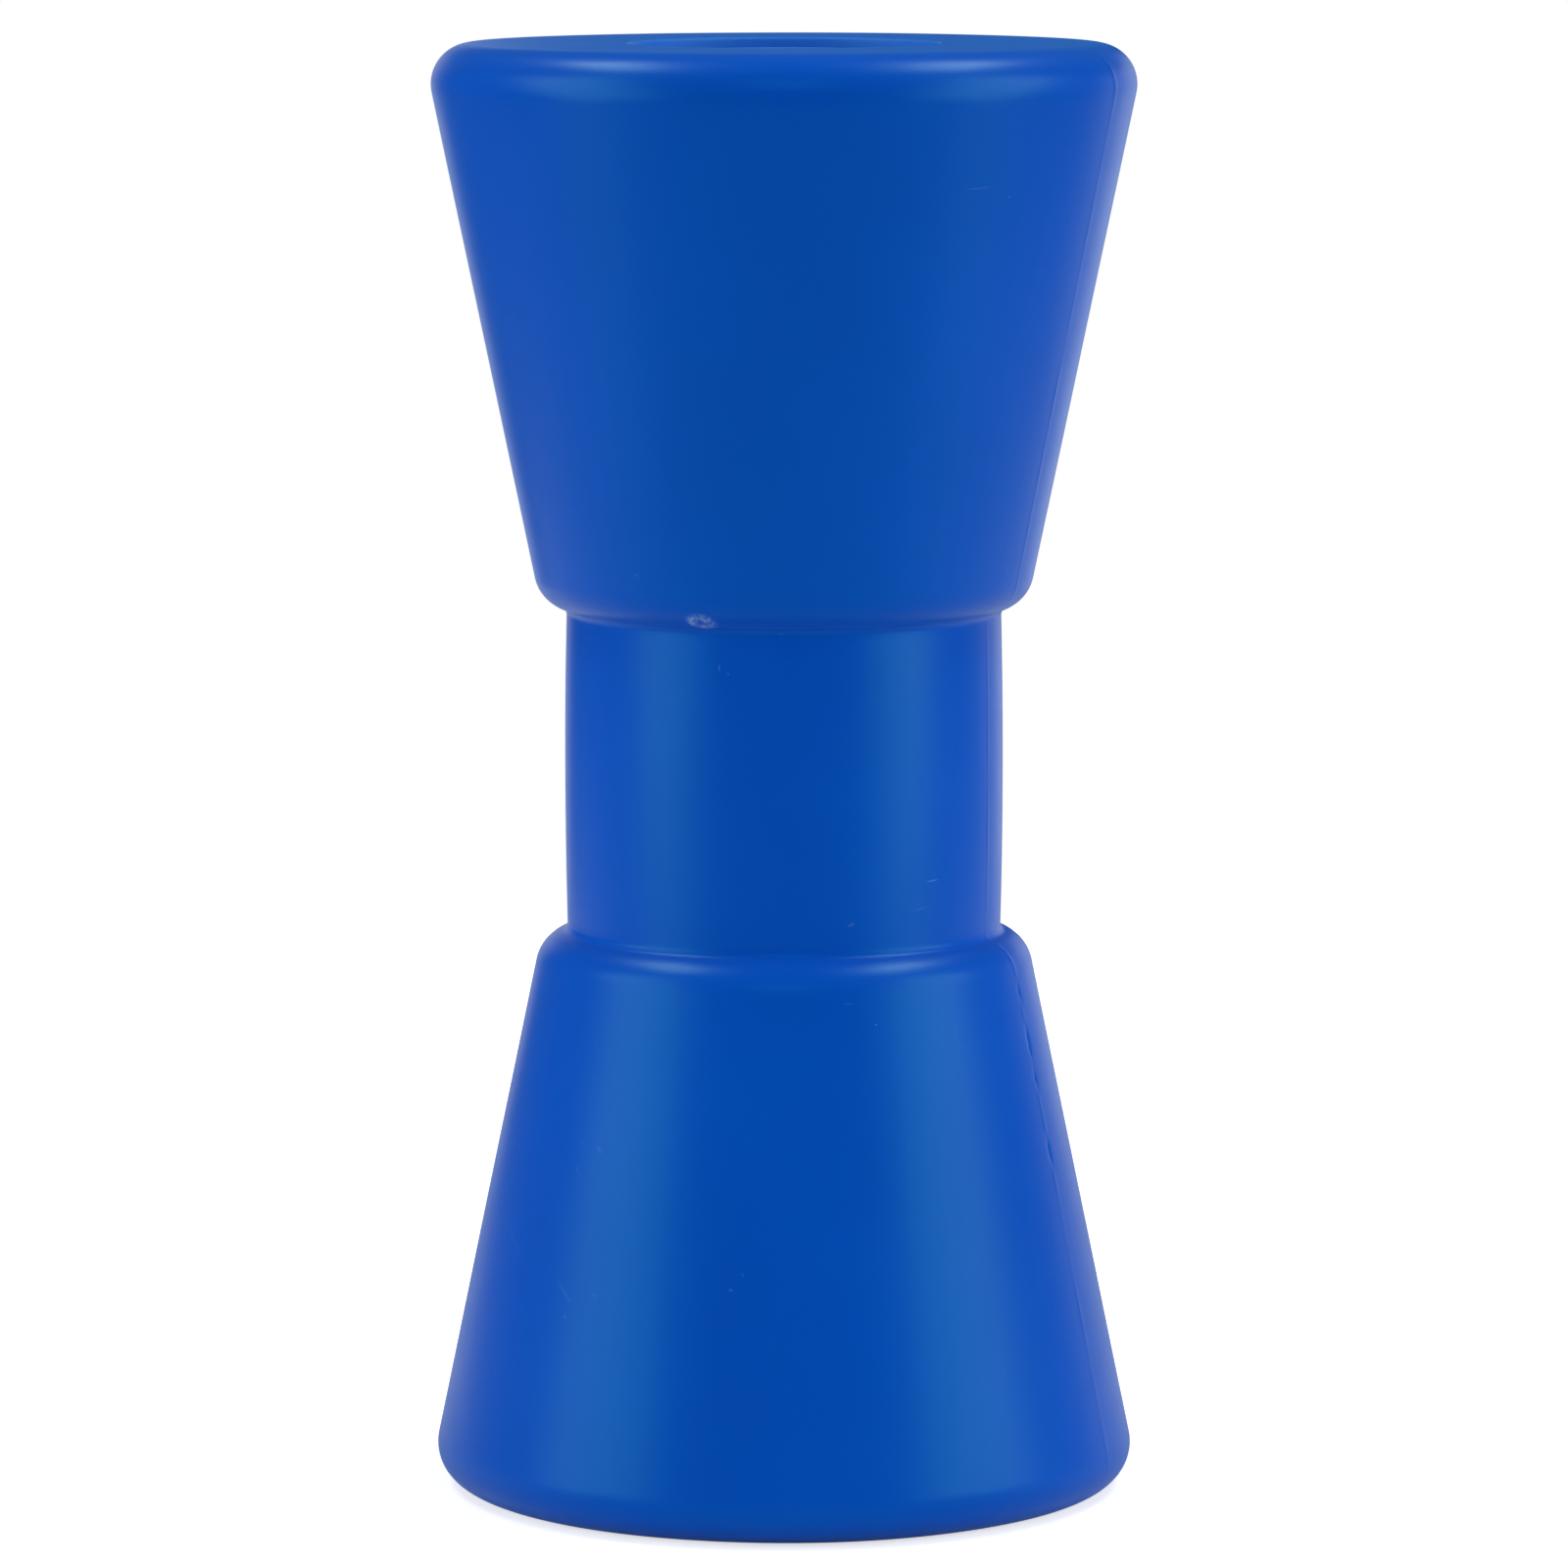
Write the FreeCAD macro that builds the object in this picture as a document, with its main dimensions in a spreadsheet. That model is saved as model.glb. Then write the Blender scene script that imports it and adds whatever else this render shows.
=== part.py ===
import FreeCAD, Part
import math
import os

import Sketcher

# Keel roller for a boat trailer, moulded in one piece.
# Two tapered flanges meet a narrower barrel between rounded shoulders, so that a keel
# settles into the waist. A straight bore runs through for the spindle that carries it.
# The roller stands on one end face: Z is its axis and Z = 0 is that face. Sizes are mm.

doc = FreeCAD.newDocument("keel_roller")

SIZES = [
    ("roller_length", 200.0, "end face to end face"),
    ("waist_length", 44.5, "clear length between the two shoulders"),
    ("waist_diameter", 60.6, "barrel at its middle"),
    ("waist_crown", 0.3, "how far the barrel falls in, on the radius, towards each shoulder"),
    ("waist_bevel", 1.2, "bevel in the hollow corner between barrel and shoulder"),
    ("step_height", 3.18, "how far a flange, carried on to the waist, stands above the barrel"),
    ("shoulder_radius", 5.5, "rounding where a flange turns in to the waist"),
    ("cone_angle", 11.75, "slope of each flange from the axis, in degrees"),
    ("rim_radius", 5.2, "rounding between a flange and its end face"),
    ("bore_diameter", 17.0, "hole for a 16 mm spindle, with 0.5 mm clearance all round"),
    ("bore_chamfer", 1.0, "lead-in at each mouth of the bore"),
    ("recess_diameter", 43.0, "shallow round recess in each end face, about the bore"),
    ("recess_depth", 1.4, "depth of that recess"),
    ("recess_bevel", 0.4, "bevel round the lip of that recess"),
]
sheet = doc.addObject("Spreadsheet::Sheet", "Sizes")
for row, (alias, size, note) in enumerate(SIZES, start=1):
    sheet.set(f"A{row}", alias)
    sheet.set(f"B{row}", str(size))
    sheet.set(f"C{row}", note)
    sheet.setAlias(f"B{row}", alias)
doc.recompute()

# The body's own planes pass through the roller's middle, so its halves mirror in XY_Plane.
body = doc.addObject("PartDesign::Body", "roller_body")
body.Label = "roller_body"
body.setExpression(".Placement.Base.z", "Sizes.roller_length / 2")


def origin_feature(role):
    """One of the body's own axes or planes."""
    return next(item for item in body.Origin.OriginFeatures if item.Role == role)


def new_sketch(name, plane_role):
    """An empty sketch on one of the body's own planes."""
    sketch = body.newObject("Sketcher::SketchObject", name)
    sketch.AttachmentSupport = [(origin_feature(plane_role), "")]
    sketch.MapMode = "FlatFace"
    return sketch


# Numbers that a sketch uses for a point of an edge, for its own origin and for its X axis
START, END, CENTRE = 1, 2, 3
ORIGIN = (-1, 1)
X_AXIS = -1

# Section of the roller, to be turned about its axis. The sketch's X is the radius and its Y
# is the axis. Edges start close to their places, and the constraints then set them exactly.
half_length = sheet.roller_length / 2
half_waist = sheet.waist_length / 2
slope = math.radians(sheet.cone_angle)
corner_radius = sheet.waist_diameter / 2 + sheet.step_height
end_radius = corner_radius + (half_length - half_waist) * math.tan(slope)
shoulder_height = half_waist + sheet.shoulder_radius
tangent_height = shoulder_height - sheet.shoulder_radius * math.sin(slope)
tangent_radius = corner_radius + (tangent_height - half_waist) * math.tan(slope)
shoulder_centre_radius = tangent_radius - sheet.shoulder_radius * math.cos(slope)
barrel_end_height = half_waist - sheet.waist_bevel
barrel_end_radius = sheet.waist_diameter / 2 - sheet.waist_crown
crown_radius = (half_waist**2 + sheet.waist_crown**2) / (2 * sheet.waist_crown)
crown_centre_radius = sheet.waist_diameter / 2 - crown_radius

section = new_sketch("section", "XZ_Plane")


def line(start, end):
    """Adds a straight edge to the section; returns its number."""
    edge = Part.LineSegment(FreeCAD.Vector(*start, 0), FreeCAD.Vector(*end, 0))
    return section.addGeometry(edge, False)


def arc(centre, start, end):
    """Adds an anticlockwise arc about a centre to the section; returns its number."""
    radius = math.dist(centre, start)
    circle = Part.Circle(FreeCAD.Vector(*centre, 0), FreeCAD.Vector(0, 0, 1), radius)
    first = math.atan2(start[1] - centre[1], start[0] - centre[0])
    last = math.atan2(end[1] - centre[1], end[0] - centre[0])
    return section.addGeometry(Part.ArcOfCircle(circle, first, last), False)


def constrain(*terms):
    """Adds one constraint to the section; returns its number."""
    return section.addConstraint(Sketcher.Constraint(*terms))


def drive(expression, *terms):
    """Adds a dimension to the section and ties it to the sizes."""
    section.setExpression(f"Constraints[{constrain(*terms)}]", expression)


def drive_height(expression, side, near, far, height):
    """Ties how much further than one point another lies from the middle, along the axis."""
    low, high = (near, far) if side > 0 else (far, near)
    drive(expression, "DistanceY", *low, *high, height)


def half_section(side):
    """End face, flange, shoulder and waist bevel of one half; side is 1 above, -1 below."""
    corner_place = FreeCAD.Vector(corner_radius, side * half_waist, 0)
    corner = section.addGeometry(Part.Point(corner_place), True)
    rim = (end_radius, side * half_length)
    outer = (tangent_radius, side * tangent_height)
    foot = (barrel_end_radius + sheet.waist_bevel, side * half_waist)
    centre = (shoulder_centre_radius, side * shoulder_height)
    face = line((0, side * half_length), rim)
    cone = line(rim, outer)
    if side > 0:
        shoulder, foot_end, cone_end = arc(centre, foot, outer), START, END
    else:
        shoulder, foot_end, cone_end = arc(centre, outer, foot), END, START
    bevel = line(foot, (barrel_end_radius, side * barrel_end_height))

    constrain("Horizontal", face)
    constrain("Coincident", face, END, cone, START)
    constrain("PointOnObject", corner, START, cone)
    constrain("Tangent", cone, END, shoulder, cone_end)
    constrain("Coincident", shoulder, foot_end, bevel, START)
    corner_formula = "Sizes.waist_diameter / 2 + Sizes.step_height"
    drive(corner_formula, "DistanceX", *ORIGIN, corner, START, corner_radius)
    drive_height("Sizes.waist_length / 2", side, ORIGIN, (corner, START), half_waist)
    drive("Sizes.shoulder_radius", "Radius", shoulder, sheet.shoulder_radius)
    drive_height(
        "Sizes.shoulder_radius", side, (corner, START), (shoulder, CENTRE), sheet.shoulder_radius
    )
    drive("Sizes.waist_bevel", "DistanceX", bevel, END, bevel, START, sheet.waist_bevel)
    drive_height("Sizes.waist_bevel", side, (bevel, END), (bevel, START), sheet.waist_bevel)
    return face, cone, bevel


axis = line((0, -half_length), (0, half_length))
face_low, cone_low, bevel_low = half_section(-1)
face_high, cone_high, bevel_high = half_section(1)
barrel = arc(
    (crown_centre_radius, 0),
    (barrel_end_radius, -barrel_end_height),
    (barrel_end_radius, barrel_end_height),
)
constrain("Coincident", axis, START, face_low, START)
constrain("Coincident", axis, END, face_high, START)
constrain("Vertical", axis)
constrain("Symmetric", axis, START, axis, END, *ORIGIN)
constrain("Coincident", barrel, START, bevel_low, END)
constrain("Coincident", barrel, END, bevel_high, END)
constrain("PointOnObject", barrel, CENTRE, X_AXIS)
drive("Sizes.roller_length", "DistanceY", axis, START, axis, END, sheet.roller_length)
drive("90 + Sizes.cone_angle", "Angle", cone_low, math.pi / 2 + slope)
drive("-90 - Sizes.cone_angle", "Angle", cone_high, -math.pi / 2 - slope)
crown_formula = "((Sizes.waist_length / 2) ^ 2 + Sizes.waist_crown ^ 2) / (2 * Sizes.waist_crown)"
drive(crown_formula, "Radius", barrel, crown_radius)
drive(
    f"{crown_formula} - Sizes.waist_diameter / 2",
    "DistanceX", barrel, CENTRE, *ORIGIN, -crown_centre_radius,
)
doc.recompute()
if not section.FullyConstrained:
    raise RuntimeError("the section is not fully constrained")

blank = body.newObject("PartDesign::Revolution", "blank")
blank.Profile = section
blank.ReferenceAxis = (section, ["V_Axis"])
blank.Angle = 360
doc.recompute()


def round_pocket(name, diameter_name):
    """A round pocket about the roller's axis, its diameter tied to a size."""
    outline = new_sketch(f"{name}_outline", "XY_Plane")
    diameter = sheet.get(diameter_name)
    circle = Part.Circle(FreeCAD.Vector(0, 0, 0), FreeCAD.Vector(0, 0, 1), diameter / 2)
    outline.addGeometry(circle, False)
    outline.addConstraint(Sketcher.Constraint("Coincident", 0, CENTRE, *ORIGIN))
    number = outline.addConstraint(Sketcher.Constraint("Diameter", 0, diameter))
    outline.setExpression(f"Constraints[{number}]", f"Sizes.{diameter_name}")
    pocket = body.newObject("PartDesign::Pocket", name)
    pocket.Profile = outline
    return pocket


# Bore for the spindle, from the middle out through both ends
bore = round_pocket("bore", "bore_diameter")
bore.Type = "ThroughAll"
bore.Midplane = True
doc.recompute()

# Recess in the upper end face, its outline lifted to that face, then its mirror image below
recess = round_pocket("recess", "recess_diameter")
recess.Profile[0].setExpression(".AttachmentOffset.Base.z", "Sizes.roller_length / 2")
recess.setExpression("Length", "Sizes.recess_depth")
doc.recompute()
both_recesses = body.newObject("PartDesign::Mirrored", "both_recesses")
both_recesses.Originals = [recess]
both_recesses.MirrorPlane = (origin_feature("XY_Plane"), [""])
body.Tip = both_recesses
doc.recompute()

# Two edges match if their radius and height differ by less than this
SAME_PLACE = 1e-4


def ring_edges(feature, radius, height):
    """Names of the circular edges of this radius, at this height above and below the middle."""
    names = []
    for number, edge in enumerate(feature.Shape.Edges, start=1):
        if not isinstance(edge.Curve, Part.Circle):
            continue
        same_radius = abs(edge.Curve.Radius - radius) < SAME_PLACE
        same_height = abs(abs(edge.Curve.Center.z) - height) < SAME_PLACE
        if same_radius and same_height:
            names.append(f"Edge{number}")
    if len(names) != 2:
        raise RuntimeError(f"expected one edge in each half, found {names}")
    return names


def ease_edges(kind, name, size_name, radius, height):
    """Rounds or bevels one outer edge in both halves by a size from the sheet."""
    base = body.Tip
    feature = body.newObject(f"PartDesign::{kind}", name)
    feature.Base = (base, ring_edges(base, radius, height))
    feature.setExpression("Radius" if kind == "Fillet" else "Size", f"Sizes.{size_name}")
    doc.recompute()
    if feature.Shape.Volume >= base.Shape.Volume:
        raise RuntimeError(f"{name} took nothing off")


recess_floor_height = half_length - sheet.recess_depth
ease_edges("Fillet", "rim", "rim_radius", end_radius, half_length)
ease_edges("Chamfer", "recess_lip", "recess_bevel", sheet.recess_diameter / 2, half_length)
ease_edges("Chamfer", "bore_mouth", "bore_chamfer", sheet.bore_diameter / 2, recess_floor_height)

# Nothing is written unless every feature is sound and the moulding is one closed solid.
for item in doc.Objects:
    if "Invalid" in item.State or "Error" in item.State:
        raise RuntimeError(f"{item.Name} failed: {item.State}")
if body.Shape.isNull() or not body.Shape.isValid() or len(body.Shape.Solids) != 1:
    raise RuntimeError("the moulding is not one sound solid")
print(f"{body.Label}: {body.Shape.Volume / 1000:.1f} cm3")

os.makedirs("parts", exist_ok=True)
body.Shape.exportStep(f"parts/{body.Label}.step")
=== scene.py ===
import math

import bmesh
import bpy
from mathutils import Matrix, Quaternion, Vector, noise


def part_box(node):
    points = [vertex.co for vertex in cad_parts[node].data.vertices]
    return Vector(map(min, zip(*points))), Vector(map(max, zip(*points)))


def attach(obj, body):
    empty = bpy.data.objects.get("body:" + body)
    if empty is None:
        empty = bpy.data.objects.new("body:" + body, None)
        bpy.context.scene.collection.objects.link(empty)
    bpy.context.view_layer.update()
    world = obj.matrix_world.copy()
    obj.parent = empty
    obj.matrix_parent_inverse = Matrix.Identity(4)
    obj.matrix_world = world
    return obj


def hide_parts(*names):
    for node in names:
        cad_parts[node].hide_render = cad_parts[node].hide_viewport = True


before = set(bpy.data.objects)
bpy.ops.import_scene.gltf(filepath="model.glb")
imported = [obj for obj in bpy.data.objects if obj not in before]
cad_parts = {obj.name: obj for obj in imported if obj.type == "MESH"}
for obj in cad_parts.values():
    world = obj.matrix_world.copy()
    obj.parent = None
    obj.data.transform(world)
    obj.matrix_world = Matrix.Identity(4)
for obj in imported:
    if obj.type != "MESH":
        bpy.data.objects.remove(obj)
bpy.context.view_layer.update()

# The roller is one solid moulding of blue polyethylene: two tapered flanges either side of a
# narrower barrel, bored through for its spindle. Its section is drawn for the upper half,
# mirrored for the lower half and turned about the axis. Sizes are in metres.
cad_low, cad_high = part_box("roller_body")
half_length = (cad_high.z - cad_low.z) / 2
half_waist = 0.02225
waist_radius = 0.0303
waist_crown = 0.0003
step_height = 0.00318
hollow_radius = 0.0012
shoulder_radius = 0.0055
cone_slope = math.radians(11.75)
rim_radius = 0.0056
recess_radius = 0.0215
recess_depth = 0.0014
lip_radius = 0.0004
bore_radius = 0.0085
bore_chamfer = 0.001


def across(radius, height):
    """A point of the section, by its distance from the axis and its height over the middle."""
    return Vector((radius, 0, height))


def angle_of(arm):
    """Angle of a direction in the section, above the outward one."""
    return math.atan2(arm.z, arm.x)


def draw_line(mesh, tip, end, steps):
    """Carries the outline on from its tip in a straight line and returns the new tip."""
    step = (end - tip.co) / steps
    for _ in range(steps):
        tip = bmesh.ops.extrude_vert_indiv(mesh, verts=[tip])["verts"][0]
        bmesh.ops.translate(mesh, verts=[tip], vec=step)
    return tip


def draw_arc(mesh, tip, centre, end_angle, steps):
    """Carries the outline on round a centre, up to an angle, and returns the new tip."""
    turn = math.remainder(end_angle - angle_of(tip.co - centre), math.tau)
    made = bmesh.ops.spin(
        mesh, geom=[tip], cent=centre, axis=(0, -1, 0), angle=turn, steps=steps,
        use_merge=False, use_duplicate=False,
    )
    return next(item for item in made["geom_last"] if isinstance(item, bmesh.types.BMVert))


# The barrel bulges by its crown, the shoulder's round touches the flange's cone, and the
# hollow corner's round touches both the barrel and the shoulder.
crown_arc_radius = (half_waist**2 + waist_crown**2) / (2 * waist_crown)
crown_centre = across(waist_radius - crown_arc_radius, 0)
cone_foot_radius = waist_radius + step_height
shoulder_inset = shoulder_radius * (1 / math.cos(cone_slope) - math.tan(cone_slope))
shoulder_centre = across(cone_foot_radius - shoulder_inset, half_waist + shoulder_radius)
crown_reach = crown_arc_radius + hollow_radius
shoulder_reach = shoulder_radius + hollow_radius
apart = shoulder_centre - crown_centre
along = (crown_reach**2 - shoulder_reach**2 + apart.length_squared) / (2 * apart.length)
beside = math.sqrt(crown_reach**2 - along**2)
downward = Vector((apart.z, 0, -apart.x)).normalized()
hollow_centre = crown_centre + apart.normalized() * along + downward * beside
rim_centre_height = half_length - rim_radius
cone_at_rim = cone_foot_radius + (rim_centre_height - half_waist) * math.tan(cone_slope)
rim_centre = across(cone_at_rim - rim_radius / math.cos(cone_slope), rim_centre_height)
cone_end = rim_centre + across(math.cos(cone_slope), -math.sin(cone_slope)) * rim_radius
lip_centre = across(recess_radius + lip_radius, half_length - lip_radius)
recess_floor = half_length - recess_depth

# Steps along each stretch of the section, finer where it is seen from close by
crown_steps, hollow_steps, shoulder_steps, cone_steps, rim_steps = 24, 8, 14, 50, 20
end_face_steps, lip_steps, recess_wall_steps, recess_floor_steps = 10, 4, 2, 6
bore_chamfer_steps, bore_steps = 1, 12
halves_gap = 1e-6
roller = bmesh.new()
tip = bmesh.ops.create_vert(roller, co=across(waist_radius, 0))["vert"][0]
tip = draw_arc(roller, tip, crown_centre, angle_of(hollow_centre - crown_centre), crown_steps)
tip = draw_arc(
    roller, tip, hollow_centre, angle_of(shoulder_centre - hollow_centre), hollow_steps
)
tip = draw_arc(roller, tip, shoulder_centre, -cone_slope, shoulder_steps)
tip = draw_line(roller, tip, cone_end, cone_steps)
tip = draw_arc(roller, tip, rim_centre, math.pi / 2, rim_steps)
tip = draw_line(roller, tip, across(lip_centre.x, half_length), end_face_steps)
tip = draw_arc(roller, tip, lip_centre, math.pi, lip_steps)
tip = draw_line(roller, tip, across(recess_radius, recess_floor), recess_wall_steps)
bore_mouth = across(bore_radius + bore_chamfer, recess_floor)
tip = draw_line(roller, tip, bore_mouth, recess_floor_steps)
bore_top = across(bore_radius, recess_floor - bore_chamfer)
tip = draw_line(roller, tip, bore_top, bore_chamfer_steps)
tip = draw_line(roller, tip, across(bore_radius, 0), bore_steps)
bmesh.ops.mirror(
    roller, geom=roller.verts[:] + roller.edges[:], matrix=Matrix.Identity(4),
    merge_dist=halves_gap, axis="Z",
)
bmesh.ops.translate(roller, verts=roller.verts[:], vec=(0, 0, half_length))

# The mould's two halves met at a parting line, seen down the right flank. Azimuths turn from
# the front, where the camera stands, towards the right. The turn is finer along that line.
parting_azimuth = math.radians(67.5)
parting_half_width = math.radians(0.5)
parting_steps = 8
half_turn_steps = 120
front_to_x_axis = math.radians(90)
seam_gap = 2e-6
bmesh.ops.rotate(
    roller, cent=(0, 0, 0), verts=roller.verts[:],
    matrix=Matrix.Rotation(parting_azimuth - parting_half_width - front_to_x_axis, 3, "Z"),
)
section = roller.verts[:] + roller.edges[:]
strip_turn = 2 * parting_half_width
for turn, steps in [(strip_turn, parting_steps), (math.pi - strip_turn, half_turn_steps)] * 2:
    turned = bmesh.ops.spin(
        roller, geom=section, cent=(0, 0, 0), axis=(0, 0, 1), angle=turn, steps=steps,
        use_merge=False, use_duplicate=False,
    )
    section = turned["geom_last"]
bmesh.ops.remove_doubles(roller, verts=roller.verts[:], dist=seam_gap)
bmesh.ops.recalc_face_normals(roller, faces=roller.faces[:])


def azimuth_of(place):
    """How far round from the front a place on the roller is, towards the right."""
    return math.atan2(place.x, -place.y)


# A pin gate fed the mould at the foot of the upper flange, a quarter turn from the parting
# line. Tearing it off left a low rough ring, so the mesh is finer there.
gate_azimuth = math.radians(-20.2)
gate_height = 0.1231
gate_from_axis = 0.0324
gate_ring_radius = 0.0013
gate_ring_width = 0.0005
gate_ring_height = 0.00014
gate_grain_size = 0.00045
gate_middle_share = 0.3
gate_squash = 1.3
gate_reach = 0.0028
gate_cuts = 4
gate_place = Vector((
    gate_from_axis * math.sin(gate_azimuth),
    -gate_from_axis * math.cos(gate_azimuth),
    gate_height,
))
near_gate = [
    edge for edge in roller.edges
    if all((vert.co - gate_place).length < gate_reach for vert in edge.verts)
]
bmesh.ops.subdivide_edges(roller, edges=near_gate, cuts=gate_cuts, use_grid_fill=True)
roller.normal_update()

# Low flash stands along the parting line, patchy down its length, with a few nicks below the
# waist where it was scraped. The thick walls also drew in unevenly as they cooled. Each nick
# has its height and how far it reaches up and down.
flash_height = 0.000035
flash_patch_length = 0.006
flash_share = 0.7
nicks = [(0.0638, 0.0019), (0.0703, 0.0008), (0.0591, 0.0008), (0.0489, 0.0014)]
nick_depth = 0.00022
draw_in_depth = 0.00003
draw_in_size = 0.025
end_face_normal = 0.9
moves = []
for vert in roller.verts:
    place = vert.co
    from_axis = math.hypot(place.x, place.y)
    if from_axis < recess_radius + lip_radius:
        continue
    move = -draw_in_depth * (1 + noise.noise(place / draw_in_size))
    for line_azimuth in (parting_azimuth, parting_azimuth - math.pi):
        off_line = abs(math.remainder(azimuth_of(place) - line_azimuth, math.tau))
        crest = max(0, 1 - off_line / parting_half_width)
        if crest > 0 and abs(vert.normal.z) < end_face_normal:
            patch = noise.noise(Vector((line_azimuth, 0, place.z / flash_patch_length)))
            move += flash_height * crest * (flash_share + patch)
            for nick_height, nick_reach in nicks:
                along_nick = abs(place.z - nick_height) / nick_reach
                if line_azimuth == parting_azimuth and along_nick < 1:
                    move -= nick_depth * crest * (1 - along_nick**2)
    from_gate = Vector((
        place.x - gate_place.x, place.y - gate_place.y, (place.z - gate_height) * gate_squash
    )).length
    if from_gate < gate_reach:
        ring = math.exp(-((from_gate - gate_ring_radius) / gate_ring_width) ** 2)
        middle = math.exp(-(from_gate / gate_ring_radius) ** 2)
        rough = noise.noise(place / gate_grain_size)
        move += gate_ring_height * ring * (1 + rough)
        move += gate_ring_height * gate_middle_share * rough * middle
    moves.append((vert, vert.normal * move))
for vert, move in moves:
    vert.co += move

# The recess and the bore are painted a paler blue, painted light that lifts them out of their
# shade, and have a rougher finish from the core that shaped them.
MOULDED, CORED = 0, 1
crease_angle = math.radians(35)
for face in roller.faces:
    middle = face.calc_center_median()
    inside_lip = math.hypot(middle.x, middle.y) < recess_radius + lip_radius / 2
    face.material_index = CORED if inside_lip else MOULDED
    face.smooth = True
roller_mesh = bpy.data.meshes.new("moulded_roller")
roller.to_mesh(roller_mesh)
roller.free()
roller_mesh.set_sharp_from_angle(angle=crease_angle)
moulded_roller = bpy.data.objects.new("moulded_roller", roller_mesh)
bpy.context.scene.collection.objects.link(moulded_roller)


def add_node(tree, kind, links=None, values=None, **settings):
    """Adds a node to a tree, with sockets to link from and values to set."""
    node = tree.nodes.new(kind)
    for name, setting in settings.items():
        setattr(node, name, setting)
    for name, value in (values or {}).items():
        node.inputs[name].default_value = value
    for name, socket in (links or {}).items():
        tree.links.new(socket, node.inputs[name])
    return node


def calculate(tree, operation, *terms, clamp=False):
    """Adds a Math node whose terms are sockets or numbers, and returns its result."""
    node = add_node(tree, "ShaderNodeMath", operation=operation, use_clamp=clamp)
    for slot, term in enumerate(terms):
        if isinstance(term, (int, float)):
            node.inputs[slot].default_value = term
        else:
            tree.links.new(term, node.inputs[slot])
    return node.outputs[0]


def new_group(name, inputs, outputs):
    """Starts a shader node group; returns its tree, its input sockets and its end sockets."""
    tree = bpy.data.node_groups.new(name, "ShaderNodeTree")
    for socket_name in inputs:
        tree.interface.new_socket(socket_name, in_out="INPUT", socket_type="NodeSocketFloat")
    for socket_name in outputs:
        tree.interface.new_socket(socket_name, in_out="OUTPUT", socket_type="NodeSocketFloat")
    start = tree.nodes.new("NodeGroupInput")
    end = tree.nodes.new("NodeGroupOutput")
    return tree, start.outputs, end.inputs


# Where a point of the surface lies: how far round from the front, how far from the axis and
# how high
place_tree, _, place_out = new_group("place on the roller", [], ["Azimuth", "From axis", "Height"])
coordinates = add_node(place_tree, "ShaderNodeTexCoord")
split = add_node(place_tree, "ShaderNodeSeparateXYZ", {"Vector": coordinates.outputs["Object"]})
forward = calculate(place_tree, "MULTIPLY", split.outputs["Y"], -1.0)
azimuth = calculate(place_tree, "ARCTAN2", split.outputs["X"], forward)
square = calculate(place_tree, "MULTIPLY", forward, forward)
square = calculate(place_tree, "MULTIPLY_ADD", split.outputs["X"], split.outputs["X"], square)
place_tree.links.new(azimuth, place_out["Azimuth"])
place_tree.links.new(calculate(place_tree, "SQRT", square), place_out["From axis"])
place_tree.links.new(split.outputs["Z"], place_out["Height"])

# One scratch or tick, as a mask: a thin bowed line at a place, turned from the level. The
# mask is 1 in the middle and falls to 0 at half the length or half the width.
scratch_tree, scratch_in, scratch_out = new_group(
    "scratch", ["Azimuth", "Height", "Tilt", "Length", "Width", "Bow"], ["Mask"]
)
place = add_node(scratch_tree, "ShaderNodeGroup", node_tree=place_tree).outputs
round_by = calculate(scratch_tree, "SUBTRACT", place["Azimuth"], scratch_in["Azimuth"])
round_by = calculate(scratch_tree, "MULTIPLY", round_by, place["From axis"])
up_by = calculate(scratch_tree, "SUBTRACT", place["Height"], scratch_in["Height"])
tilt_cos = calculate(scratch_tree, "COSINE", scratch_in["Tilt"])
tilt_sin = calculate(scratch_tree, "SINE", scratch_in["Tilt"])
along_line = calculate(scratch_tree, "MULTIPLY", round_by, tilt_cos)
along_line = calculate(scratch_tree, "MULTIPLY_ADD", up_by, tilt_sin, along_line)
round_part = calculate(scratch_tree, "MULTIPLY", round_by, tilt_sin)
up_part = calculate(scratch_tree, "MULTIPLY", up_by, tilt_cos)
off_line = calculate(scratch_tree, "SUBTRACT", up_part, round_part)
share = calculate(scratch_tree, "DIVIDE", along_line, scratch_in["Length"])
share_squared = calculate(scratch_tree, "MULTIPLY", share, share)
bowed = calculate(scratch_tree, "MULTIPLY", share_squared, scratch_in["Bow"])
off_line = calculate(scratch_tree, "SUBTRACT", off_line, bowed)
off_share = calculate(scratch_tree, "DIVIDE", off_line, scratch_in["Width"])
off_squared = calculate(scratch_tree, "MULTIPLY", off_share, off_share)
fall_off = calculate(scratch_tree, "ADD", share_squared, off_squared)
fall_off = calculate(scratch_tree, "MULTIPLY", fall_off, 4.0)
scratch_tree.links.new(
    calculate(scratch_tree, "SUBTRACT", 1.0, fall_off, clamp=True), scratch_out["Mask"]
)

# Uneven pigment and flow in the moulding, as a value about one
tone_tree, tone_in, tone_out = new_group("cloudy tone", ["Size", "Amount"], ["Tone"])
coordinates = add_node(tone_tree, "ShaderNodeTexCoord")
cloud_scale = calculate(tone_tree, "DIVIDE", 1.0, tone_in["Size"])
cloud = add_node(
    tone_tree, "ShaderNodeTexNoise",
    {"Vector": coordinates.outputs["Object"], "Scale": cloud_scale}, {"Detail": 3.0},
)
swing = calculate(tone_tree, "SUBTRACT", cloud.outputs["Fac"], 0.5)
tone_tree.links.new(
    calculate(tone_tree, "MULTIPLY_ADD", swing, tone_in["Amount"], 1.0), tone_out["Tone"]
)

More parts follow.
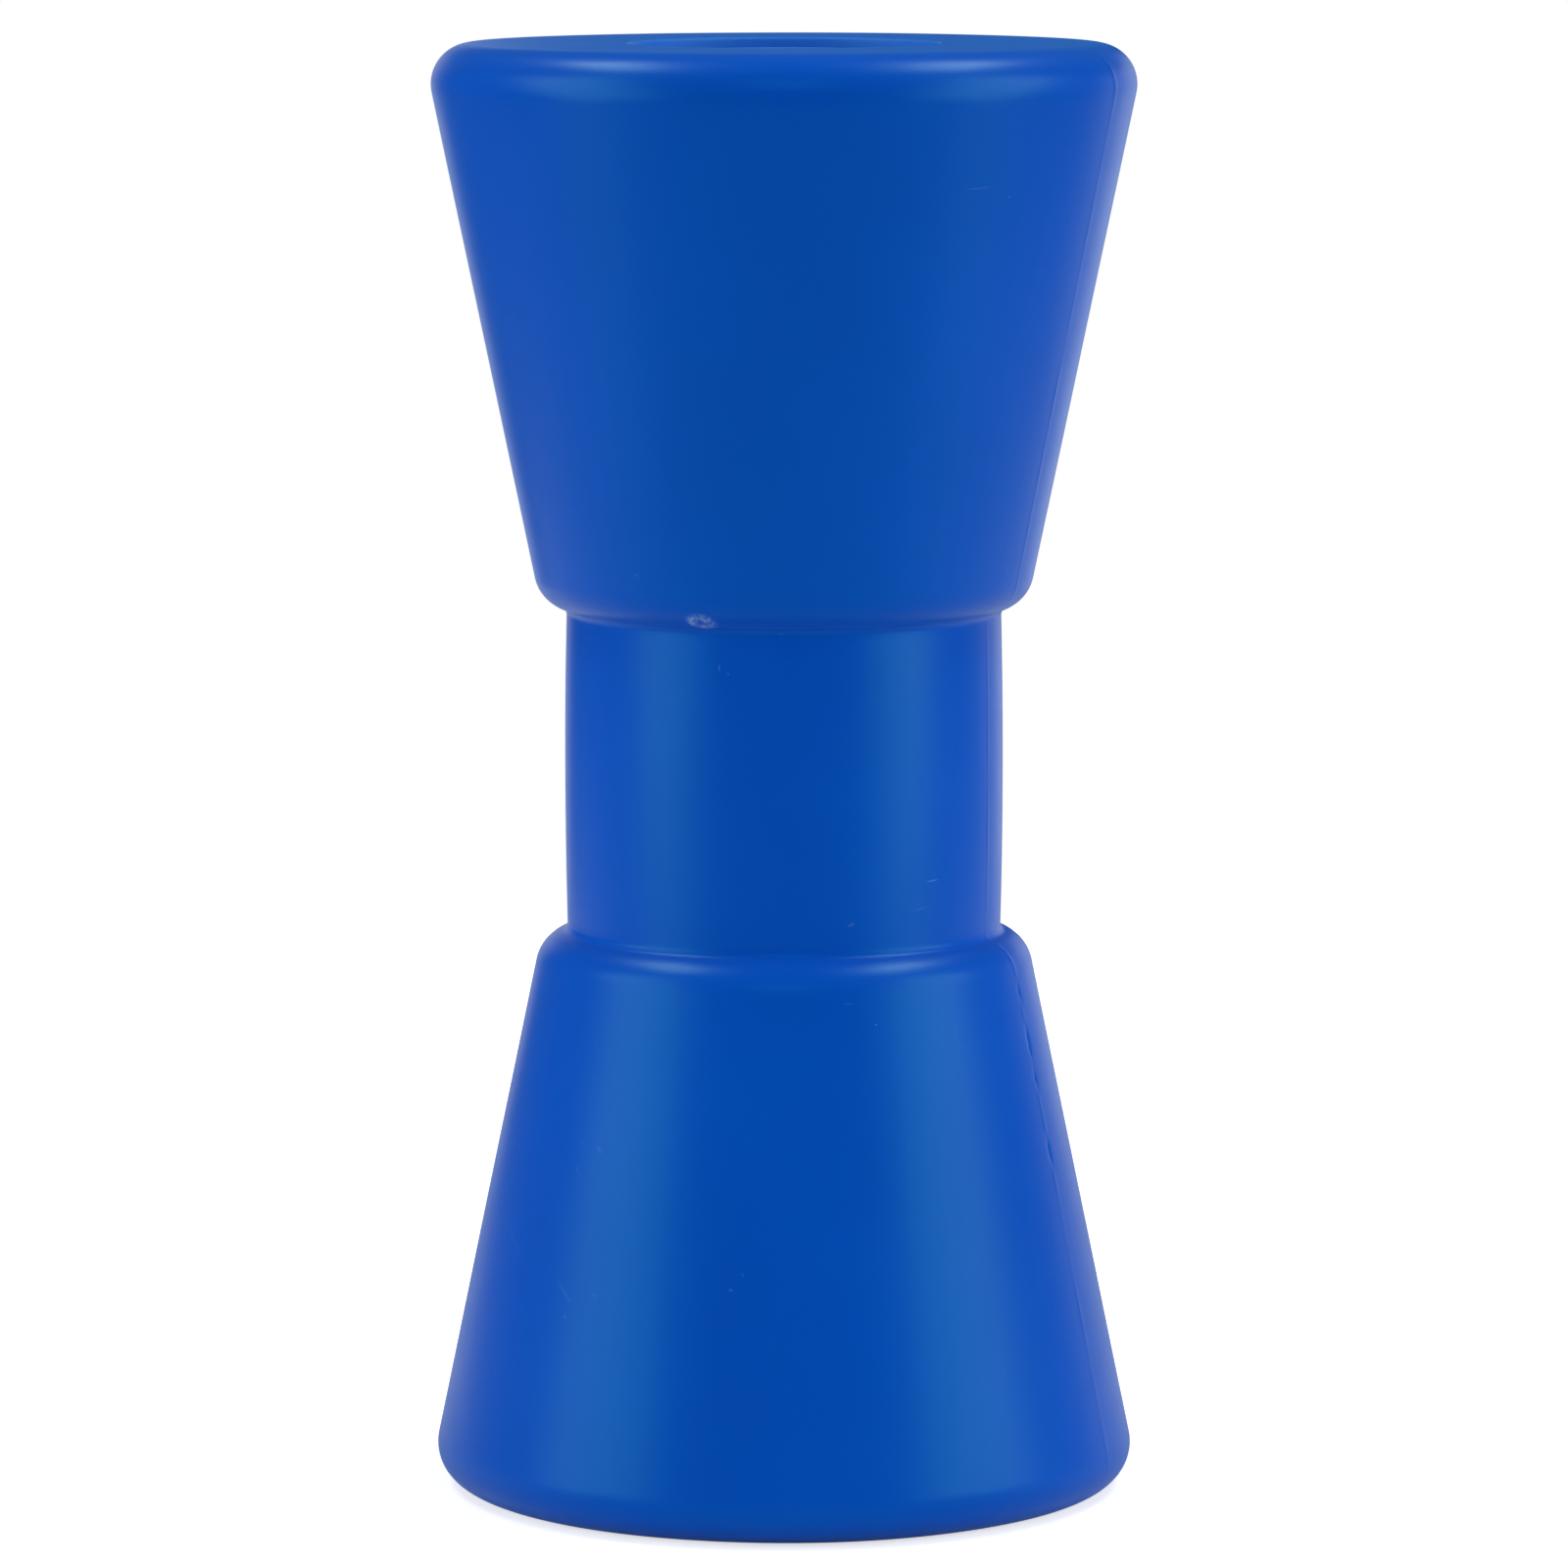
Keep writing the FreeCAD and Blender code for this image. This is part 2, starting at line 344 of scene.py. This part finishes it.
# Marks seen on this roller: azimuth in degrees and height in millimetres, tilt in degrees,
# then length, width and bow in millimetres, then how strongly the mark shows
MARKS = [
    (-16.8, 117.1, 80, 1.1, 0.22, 0.0, 0.5),
    (-14.4, 116.3, -50, 0.6, 0.20, 0.0, 0.4),
    (-0.6, 121.8, 0, 0.9, 0.15, 0.0, 0.3),
    (42.0, 87.3, 4, 2.6, 0.25, 0.1, 0.55),
    (38.0, 83.6, 8, 3.2, 0.20, 0.2, 0.25),
    (17.6, 82.1, 25, 1.3, 0.40, 0.0, 0.35),
    (20.6, 69.1, 0, 0.4, 0.35, 0.0, 0.5),
    (14.5, 72.0, 0, 2.0, 0.15, 0.0, 0.25),
    (-40.1, 51.5, -35, 1.8, 0.15, -0.25, 0.5),
    (-45.1, 52.2, 40, 0.6, 0.25, 0.0, 0.3),
    (-45.3, 48.5, -75, 0.9, 0.20, 0.0, 0.35),
    (-62.0, 37.2, -32, 15.0, 0.14, -1.2, 0.30),
    (-44.0, 32.1, -40, 5.5, 0.16, -0.2, 0.40),
    (-36.8, 32.3, -30, 1.2, 0.18, 0.0, 0.35),
    (-43.0, 28.9, 0, 0.4, 0.35, 0.0, 0.5),
    (-7.6, 36.4, -50, 0.9, 0.16, 0.0, 0.4),
    (-9.7, 34.4, 0, 0.7, 0.50, 0.0, 0.3),
    (34.2, 182.0, 3, 5.0, 0.18, 0.1, 0.3),
    (41.1, 180.7, 0, 0.4, 0.30, 0.0, 0.35),
    (53.5, 170.2, 60, 1.0, 0.16, 0.0, 0.3),
    (-34.5, 129.6, 0, 0.8, 0.35, 0.0, 0.25),
]


def add_marks(tree):
    """Places every mark in a material and returns the strongest mask at each point."""
    strongest = None
    for azimuth, height, tilt, length, width, bow, strength in MARKS:
        sizes = {
            "Azimuth": math.radians(azimuth), "Height": height / 1000,
            "Tilt": math.radians(tilt), "Length": length / 1000, "Width": width / 1000,
            "Bow": bow / 1000,
        }
        scratch = add_node(tree, "ShaderNodeGroup", node_tree=scratch_tree, values=sizes)
        mask = calculate(tree, "MULTIPLY", scratch.outputs["Mask"], strength)
        strongest = mask if strongest is None else calculate(tree, "MAXIMUM", strongest, mask)
    return strongest


torn_fade_from = 0.0012
torn_fade_to = 0.0003
torn_speck_scale = 1800.0


def torn_gate(tree, place):
    """The torn ring of the gate as a mask in a material, speckled where it caught the light."""
    from_gate = add_node(
        tree, "ShaderNodeVectorMath", {0: place}, {1: gate_place}, operation="SUBTRACT"
    )
    squashed = add_node(
        tree, "ShaderNodeVectorMath", {0: from_gate.outputs["Vector"]},
        {1: (1, 1, gate_squash)}, operation="MULTIPLY",
    )
    distance = add_node(
        tree, "ShaderNodeVectorMath", {0: squashed.outputs["Vector"]}, operation="LENGTH"
    )
    off_ring = calculate(tree, "SUBTRACT", distance.outputs["Value"], gate_ring_radius)
    ring = add_node(
        tree, "ShaderNodeMapRange", {"Value": calculate(tree, "ABSOLUTE", off_ring)},
        {"From Min": torn_fade_from, "From Max": torn_fade_to},
    )
    specks = add_node(
        tree, "ShaderNodeTexNoise", {"Vector": place}, {"Scale": torn_speck_scale, "Detail": 2.0}
    )
    speckled = add_node(
        tree, "ShaderNodeMapRange", {"Value": specks.outputs["Fac"]},
        {"From Min": 0.4, "From Max": 0.65, "To Min": 0.1, "To Max": 0.6},
    )
    return calculate(tree, "MULTIPLY", ring.outputs[0], speckled.outputs[0])


def mixed(tree, share, first, second):
    """One colour socket shading into a fixed second colour by a share."""
    mix = add_node(tree, "ShaderNodeMix", {"Factor": share}, data_type="RGBA", clamp_factor=True)
    mix.inputs["B"].default_value = second
    tree.links.new(first, mix.inputs["A"])
    return mix.outputs["Result"]


def linear(red, green, blue):
    """A colour given as it looks on a screen, from 0 to 255, as Blender's linear one."""
    parts = [level / 255 for level in (red, green, blue)]
    return [p / 12.92 if p <= 0.04045 else ((p + 0.055) / 1.055) ** 2.4 for p in parts] + [1]


PE_BLUE = linear(2, 79, 191)
# A paler blue for the recess and the bore: painted light, lifting them out of their shade
PE_RECESS_PAINTED_LIGHT = linear(46, 112, 206)
PE_RUBBED = linear(96, 140, 208)
PE_TORN = linear(150, 175, 220)
PE_SHEEN = (0.06, 0.55, 0.36, 1.0)
PE_BLOOM = (0.08, 0.42, 1.0, 1.0)
pigment_clouds = {"Size": 0.03, "Amount": 0.16}
gloss_clouds = {"Size": 0.012, "Amount": 0.25}
mark_depth = 0.012
mark_dullness = 0.3
relief_height = 0.001


def polyethylene(name, colour, roughness, grain_size, grain_depth, with_marks):
    """Satin blue polyethylene, with its grain in millimetres and, outside, the wear on it."""
    material = bpy.data.materials.new(name)
    material.use_nodes = True
    tree = material.node_tree
    shader = tree.nodes["Principled BSDF"]
    shader.inputs["IOR"].default_value = 1.42
    shader.inputs["Specular Tint"].default_value = PE_SHEEN
    shader.inputs["Sheen Weight"].default_value = 0.25
    shader.inputs["Sheen Roughness"].default_value = 0.4
    shader.inputs["Sheen Tint"].default_value = PE_BLOOM
    place = add_node(tree, "ShaderNodeTexCoord").outputs["Object"]
    tone = add_node(tree, "ShaderNodeGroup", node_tree=tone_tree, values=pigment_clouds)
    blue = add_node(
        tree, "ShaderNodeVectorMath", {"Scale": tone.outputs["Tone"]}, {"Vector": colour[:3]},
        operation="SCALE",
    ).outputs["Vector"]
    grain = add_node(
        tree, "ShaderNodeTexNoise", {"Vector": place}, {"Scale": 1000 / grain_size, "Detail": 2.0}
    )
    relief = calculate(tree, "MULTIPLY", grain.outputs["Fac"], grain_depth)
    gloss_tone = add_node(tree, "ShaderNodeGroup", node_tree=tone_tree, values=gloss_clouds)
    dullness = calculate(tree, "MULTIPLY", gloss_tone.outputs["Tone"], roughness)
    if with_marks:
        marks = add_marks(tree)
        torn = torn_gate(tree, place)
        relief = calculate(tree, "MULTIPLY_ADD", marks, -mark_depth, relief)
        blue = mixed(tree, marks, blue, PE_RUBBED)
        blue = mixed(tree, torn, blue, PE_TORN)
        worn = calculate(tree, "MAXIMUM", marks, torn)
        dullness = calculate(tree, "MULTIPLY_ADD", worn, mark_dullness, dullness, clamp=True)
    tree.links.new(blue, shader.inputs["Base Color"])
    tree.links.new(dullness, shader.inputs["Roughness"])
    bump = add_node(tree, "ShaderNodeBump", {"Height": relief}, {"Distance": relief_height})
    tree.links.new(bump.outputs["Normal"], shader.inputs["Normal"])
    return material


moulded_roller.data.materials.append(
    polyethylene("moulded polyethylene", PE_BLUE, 0.33, 1.3, 0.004, with_marks=True)
)
# The recess and the bore take the paler blue, painted light in place of the shade they sit in.
moulded_roller.data.materials.append(
    polyethylene("cored polyethylene painted lighter", PE_RECESS_PAINTED_LIGHT, 0.5, 0.5, 0.008, with_marks=False)
)
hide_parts("roller_body")
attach(moulded_roller, "root")

# The roller stands on a pale floor, which shows white to the camera where the light falls on
# it and still takes the roller's shadow.
floor_radius = 0.55
floor_glow_to_camera = 0.65
floor_mesh = bpy.data.meshes.new("floor")
floor_shape = bmesh.new()
bmesh.ops.create_circle(floor_shape, cap_ends=True, radius=floor_radius, segments=96)
floor_shape.to_mesh(floor_mesh)
floor_shape.free()
floor = bpy.data.objects.new("floor", floor_mesh)
bpy.context.scene.collection.objects.link(floor)
floor_paint = bpy.data.materials.new("pale floor")
floor_paint.use_nodes = True
floor_tree = floor_paint.node_tree
floor_shader = floor_tree.nodes["Principled BSDF"]
floor_shader.inputs["Base Color"].default_value = (0.7, 0.7, 0.7, 1)
floor_shader.inputs["Roughness"].default_value = 0.9
floor_shader.inputs["Emission Color"].default_value = (1, 1, 1, 1)
floor_rays = add_node(floor_tree, "ShaderNodeLightPath")
floor_glow = calculate(
    floor_tree, "MULTIPLY", floor_rays.outputs["Is Camera Ray"], floor_glow_to_camera
)
floor_tree.links.new(floor_glow, floor_shader.inputs["Emission Strength"])
floor.data.materials.append(floor_paint)

# Plain studio light: a tall soft panel at each side, a small one in front, three low ones
# behind and two soft boxes high at the sides. Brightness counts a white surface's as 1.
roller_middle = Vector((0, 0, half_length))


def soft_panel(name, azimuth, elevation, distance, width, height, brightness, roll=0):
    """A soft light at a place round the roller, in degrees and metres, aimed at its middle."""
    lamp = bpy.data.lights.new(name, "AREA")
    lamp.shape = "RECTANGLE"
    lamp.size = width
    lamp.size_y = height
    lamp.energy = brightness * math.pi * width * height
    panel = bpy.data.objects.new(name, lamp)
    turn, rise = math.radians(azimuth), math.radians(elevation)
    away = Vector((
        math.sin(turn) * math.cos(rise), -math.cos(turn) * math.cos(rise), math.sin(rise)
    ))
    panel.location = roller_middle + away * distance
    aim = away.to_track_quat("Z", "Y") @ Quaternion((0, 0, 1), math.radians(roll))
    panel.rotation_euler = aim.to_euler()
    panel.visible_camera = False
    bpy.context.scene.collection.objects.link(panel)


soft_panel("left panel", -69, 14, 2.2, 1.4, 2.2, 3.6, roll=30)
soft_panel("right panel", 71, 14, 2.2, 1.4, 2.2, 3.8, roll=-30)
soft_panel("front panel", 0, 34, 2.2, 0.8, 0.8, 1.6)
soft_panel("back left", -166, -3, 2.3, 0.9, 1.3, 0.8)
soft_panel("back right", 158, -3, 2.3, 0.9, 1.3, 0.5)
soft_panel("wide back right", 146, -3, 2.3, 1.8, 1.3, 0.4)
soft_panel("high left", -106, 61, 2.0, 1.0, 0.45, 9.0)
soft_panel("high right", 106, 61, 2.0, 1.0, 0.45, 9.5)

# The camera sees a white background, and the roller a nearly dark room.
room_light = 0.04
world = bpy.data.worlds.new("studio")
bpy.context.scene.world = world
world.use_nodes = True
world_tree = world.node_tree
world_end = world_tree.nodes["World Output"]
room = world_tree.nodes["Background"]
room.inputs["Color"].default_value = (1, 1, 1, 1)
room.inputs["Strength"].default_value = room_light
white = add_node(
    world_tree, "ShaderNodeBackground", values={"Color": (1, 1, 1, 1), "Strength": 1.0}
)
world_rays = add_node(world_tree, "ShaderNodeLightPath")
seen = add_node(world_tree, "ShaderNodeMixShader", {"Fac": world_rays.outputs["Is Camera Ray"]})
world_tree.links.new(room.outputs[0], seen.inputs[1])
world_tree.links.new(white.outputs[0], seen.inputs[2])
world_tree.links.new(seen.outputs[0], world_end.inputs["Surface"])

# The camera stands in front, a little above the roller's upper end, and looks slightly down.
look_down = 7.45
camera_data = bpy.data.cameras.new("camera")
camera_data.sensor_width = 36
camera_data.lens = 190.19
camera_data.shift_y = 0.0378
camera = bpy.data.objects.new("camera", camera_data)
camera.location = (0, -1.138, 0.2383)
camera.rotation_euler = (math.radians(90 - look_down), 0, 0)
bpy.context.scene.collection.objects.link(camera)
bpy.context.scene.camera = camera
bpy.context.scene.view_settings.view_transform = "Standard"
